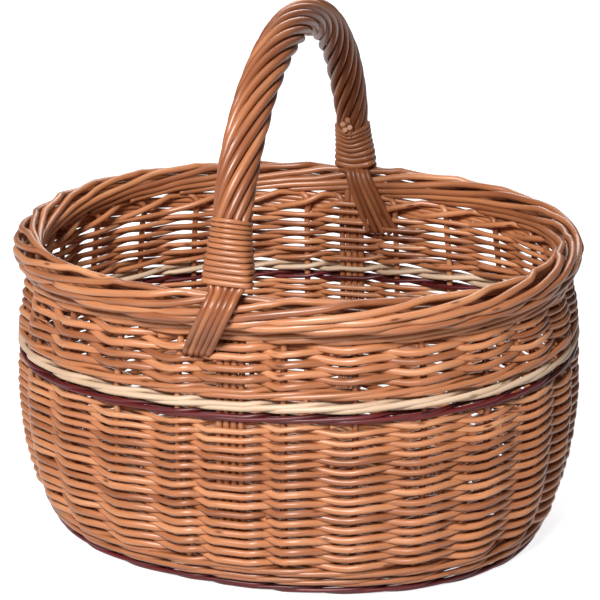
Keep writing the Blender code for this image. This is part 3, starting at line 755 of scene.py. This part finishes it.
handle_rods = []
for rod in range(ROPE_RODS):
    first = 2 * math.pi * (rod + 0.5) / ROPE_RODS
    last = first - 2 * math.pi * TWIST_TURNS
    angles = np.concatenate([
        arch_angle(np.linspace(*FRONT_BINDING, 7))[:-1],
        np.linspace(front_top, rear_top, 64),
        (math.pi - arch_angle(np.linspace(REAR_BINDING[1], REAR_BINDING[0], 6)))[1:],
    ])
    progress = np.clip((angles - front_top) / (rear_top - front_top), 0, 1)
    turn = first + progress * (last - first)
    share = roundness(angles)
    side = np.where(angles < math.pi / 2, -1, 1)
    front_foot, rear_foot = foot_place(first), foot_place(last)
    column = np.where(side < 0, front_foot[0], rear_foot[0])
    row = np.where(side < 0, front_foot[1], rear_foot[1])
    distance = rope_ring(angles) + wander(len(angles), 0.0002, 6)
    lean = np.where(side < 0, 0.0, REAR_LEAN)
    pitch = GATHERED * np.where(side < 0, FRONT_PITCH, REAR_PITCH)
    x = (1 - share) * (column * pitch + lean) + share * distance * np.cos(turn)
    out = (1 - share) * row * ROW_OFFSET + share * distance * np.sin(turn)
    centre, outward = arch(angles)
    middle = centre + outward * out[:, None]
    middle[:, 0] += x
    front_points, front_thick = fan(-1, *front_foot)
    rear_points, rear_thick = fan(1, *rear_foot)
    control = front_points[::-1] + [tuple(point) for point in middle] + rear_points
    thickness = front_thick[::-1] + list(np.interp(share, (0, 1), (0.90, 1.0))) + rear_thick
    points = smooth_path(control, 0.0030)
    control_lengths = np.concatenate(
        [[0.0], np.cumsum(np.linalg.norm(np.diff(np.array(control), axis=0), axis=1))]
    )
    places = np.linspace(0, control_lengths[-1], len(points))
    thick = ROPE_ROD_RADIUS * np.interp(places, control_lengths, thickness)
    handle_rods.append((points, thick * draws.uniform(0.95, 1.05), draws.uniform(*HANDLE_TONES)))
make_rods(
    "handle_rods", handle_rods, 12, BUFF, CUT, "buff_willow", *nodes_named("handle_rod_"),
)

# The bow: one thick buff rod inside the twist, and at each end three rods side by side that go
# down through the weave to the base. Four rods end above the rear binding, cut off short.
CORE_FROM = 0.236
CORE_RADIUS = 0.0072
CORE_END_RADIUS = 0.004
CORE_STEPS = 60
CORE_END_SHARE = 0.06
core_angle = arch_angle(CORE_FROM)
core = arch(np.linspace(core_angle, math.pi - core_angle, CORE_STEPS))[0]
core_radius = np.interp(
    np.linspace(0, 1, CORE_STEPS), (0, CORE_END_SHARE, 1 - CORE_END_SHARE, 1),
    (CORE_END_RADIUS, CORE_RADIUS, CORE_RADIUS, CORE_END_RADIUS),
)
bow_rods = [(core, core_radius, 0.1)]
TAIL_RADIUS = 0.0025
TAIL_SPAN = (0.016, 0.196)
TAIL_STEPS = 12
TAIL_SHIFTS = (-0.0070, -0.0020, 0.0030)
CUT_END_RADIUS = 0.0020
# Each cut end's place across the handle, inwards from its middle, and its rise above the binding.
CUT_ENDS = (
    (0.0006, 0.0128, 0.0120),
    (-0.0034, 0.0126, 0.0072),
    (0.0020, 0.0134, 0.0050),
    (-0.0020, 0.0134, 0.0022),
)
for side in (-1, 1):
    start = 0 if side < 0 else STAKES // 2
    for shift in TAIL_SHIFTS:
        heights = np.linspace(*TAIL_SPAN, TAIL_STEPS)
        low = wall(slot_length(start) + shift, wander(TAIL_STEPS, 0.0001, 4), heights)
        top = [
            (-side * shift, side * ARCH_HALF, 0.214),
            (-side * shift * 0.9, side * (ARCH_HALF - 0.0006), 0.232),
        ]
        bow_rods.append((smooth_path(list(low) + top, 0.006), TAIL_RADIUS, draws.uniform(0.0, 0.5)))
for across, inward, rise in CUT_ENDS:
    heights = REAR_BINDING[1] + np.array([-0.006, -0.002, 0.6 * rise, rise])
    centre, outward = arch(math.pi - arch_angle(heights))
    points = centre - outward * (inward + np.array([[-0.0016], [-0.0012], [0.0000], [0.0018]]))
    points[:, 0] += across
    bow_rods.append((smooth_path(points, 0.002), CUT_END_RADIUS, 0.7))
make_rods("handle_bow", bow_rods, 10, BUFF, CUT, "buff_willow", "handle_bow")

# Bindings: a split buff rod wound tightly round each foot of the handle, from the bottom up, with
# its ends tucked under the turns. Its flat side is down, so only a low round shows. The first
# turns, at the foot, are the thick end of the rod.
BINDING_POINTS = 28
BINDING_SHOWS = 0.0011
BINDING_SUNK = 0.7  # of its radius
BINDING_FIRST = 0.4  # of a turn, where it comes out
# A turn's height at the foot and at the top, as a share of the mean, and its radius in heights.
TURN_AT_FOOT = 1.25
TURN_AT_TOP = 0.75
TURN_RADIUS = 0.51
CORNERS = 1.5  # above 1 the turns go round the two rows with flat sides


def binding(name, side, turns, span, dip):
    """One coil between two heights. Its turns dip on the side that faces into the basket."""
    count = int((turns - BINDING_FIRST) * BINDING_POINTS)
    steps = np.arange(count)
    share = (steps / BINDING_POINTS + BINDING_FIRST) / turns
    thinning = TURN_AT_FOOT - TURN_AT_TOP
    rise = TURN_AT_FOOT * share - thinning / 2 * share**2
    height = span[0] + (span[1] - span[0]) * rise
    radius = (span[1] - span[0]) / turns * (TURN_AT_FOOT - thinning * share) * TURN_RADIUS
    angle = arch_angle(height)
    angle = angle if side < 0 else math.pi - angle
    share = roundness(angle)
    turn = 2 * math.pi * steps / BINDING_POINTS
    half_row = (ROPE_RODS / 2 - 1) / 2 * (FRONT_PITCH if side < 0 else REAR_PITCH)
    across, along = np.sin(turn), np.cos(turn)
    edge = np.clip(along * CORNERS, -1, 1) * half_row
    row = np.clip(across * CORNERS, -1, 1) * ROW_OFFSET
    hold = ROPE_ROD_RADIUS * 0.95 + BINDING_SHOWS - radius * BINDING_SUNK
    distance = rope_ring(angle)
    lean = 0.0 if side < 0 else REAR_LEAN
    x = (1 - share) * (edge + lean) + share * distance * along + hold * along
    out = (1 - share) * row + share * distance * across + hold * across
    centre, outward = arch(angle)
    points = centre + outward * out[:, None]
    points[:, 0] += x
    points[:, 2] += wander(count, 0.00012, 10) - dip * np.maximum(-across, 0) ** 6
    rods = [(points, radius * (1 + wander(count, 0.02, 20)), 0.25)]
    return make_rods(name, rods, 12, BUFF, CUT, "buff_willow", name)


binding("binding_front", -1, 12, FRONT_BINDING, 0.0)
binding("binding_rear", 1, 8.5, REAR_BINDING, 0.0022)

# Base: six long buff sticks threaded through seven short ones, their ends spread like spokes to
# the stakes, and rods woven over and under them, round by round from the middle to the edge.
SHORT_STICKS = 7
SHORT_SPACING = 0.020
SHORT_RADIUS = 0.0027
LONG_STICKS = 6
LONG_SPACING = 0.0085
LONG_RADIUS = 0.0030
STICK_HEIGHT = 0.0115
BASE_ROD_RADIUS = 0.0020
SLATH_ROD_RADIUS = 0.0016
BASE_FROM = -0.046
BASE_TO = 0.985
BASE_ROUNDS = 29
BASE_INSET = 0.0060
BASE_EDGE_HEIGHT = 0.0085
ROUND_POINTS = 6  # from one stick to the next
# The crossing in the middle, where the sticks lie side by side.
SLATH_POINTS = 57
SLATH_LONG = SHORT_STICKS / 2 * SHORT_SPACING
SLATH_WIDE = (LONG_STICKS + 1) / 2 * LONG_SPACING
base_long, base_wide = (float(size) - BASE_INSET for size in wall_sizes(BASE_EDGE_HEIGHT))


def spoke_start(slot):
    """Where the spoke of a slot leaves the sticks' crossing."""
    half_turn, place = divmod((slot + SHORT_STICKS // 2) % STAKES, STAKES // 2)
    side = -1 if half_turn else 1
    if place < SHORT_STICKS:
        return (side * (place - SHORT_STICKS // 2) * SHORT_SPACING, -side * SLATH_WIDE)
    return (side * SLATH_LONG, side * (place - SHORT_STICKS - (LONG_STICKS - 1) / 2) * LONG_SPACING)


starts = np.array([spoke_start(slot) for slot in range(STAKES + 1)])


def base_point(slot, share, up):
    """Points of the base, this share of the way out along the spokes."""
    slot, share, up = np.broadcast_arrays(slot, share, up)
    turned = np.mod(slot, STAKES)
    near_x = np.interp(turned, range(STAKES + 1), starts[:, 0])
    near_y = np.interp(turned, range(STAKES + 1), starts[:, 1])
    far_x, far_y, _, _ = plan(angle_at(slot_length(slot)), base_long, base_wide)
    x, y = near_x + (far_x - near_x) * share, near_y + (far_y - near_y) * share
    return np.stack([x, y, STICK_HEIGHT + up], axis=-1)


sticks = []
for place in range(SHORT_STICKS + LONG_STICKS):
    near = place - SHORT_STICKS // 2
    far = STAKES // 2 - near + (STAKES // 2 if place >= SHORT_STICKS else 0)
    shares = np.linspace(1, 0, 8)
    begins, ends = base_point(near, 0.0, 0.0), base_point(far, 0.0, 0.0)
    crossing = begins + (ends - begins) * np.linspace(0.08, 0.92, 9)[:, None]
    points = np.concatenate(
        [base_point(near, shares, 0.0), crossing, base_point(far, shares[::-1], 0.0)]
    )
    radius = SHORT_RADIUS if place < SHORT_STICKS else LONG_RADIUS
    sticks.append((smooth_path(points, 0.006), radius, draws.uniform(*ROD_TONES)))
make_rods("base_sticks", sticks, 8, BUFF, CUT, "buff_willow", "base_sticks")
base_rods = []
for gap in range(LONG_STICKS - 1):
    x = np.linspace(-SLATH_LONG, SLATH_LONG, SLATH_POINTS)
    y = np.full(SLATH_POINTS, (gap - (LONG_STICKS - 2) / 2) * LONG_SPACING)
    over = np.cos(math.pi * (x / SHORT_SPACING + gap)) * (SHORT_RADIUS + SLATH_ROD_RADIUS)
    base_rods.append((np.stack([x, y, STICK_HEIGHT + over], axis=1), SLATH_ROD_RADIUS, 0.3))
for level in range(BASE_ROUNDS):
    start = 2 * int(draws.integers(0, STAKES // 2)) + level % 2 + 0.6
    slots = np.linspace(start, start + STAKES + 0.8, STAKES * ROUND_POINTS + 1)
    share = BASE_FROM + (BASE_TO - BASE_FROM) * (level + 0.5) / BASE_ROUNDS
    lift = (LONG_RADIUS + BASE_ROD_RADIUS) * np.cos(math.pi * (slots + level))
    rod = base_point(slots, share + wander(len(slots), 0.002, 12), lift)
    thick = BASE_ROD_RADIUS * np.linspace(1.08, 0.9, len(slots))
    base_rods.append((rod, thick, draws.uniform(*ROD_TONES)))
make_rods("base_weave", base_rods, 8, BUFF, CUT, "buff_willow", "base_weave")
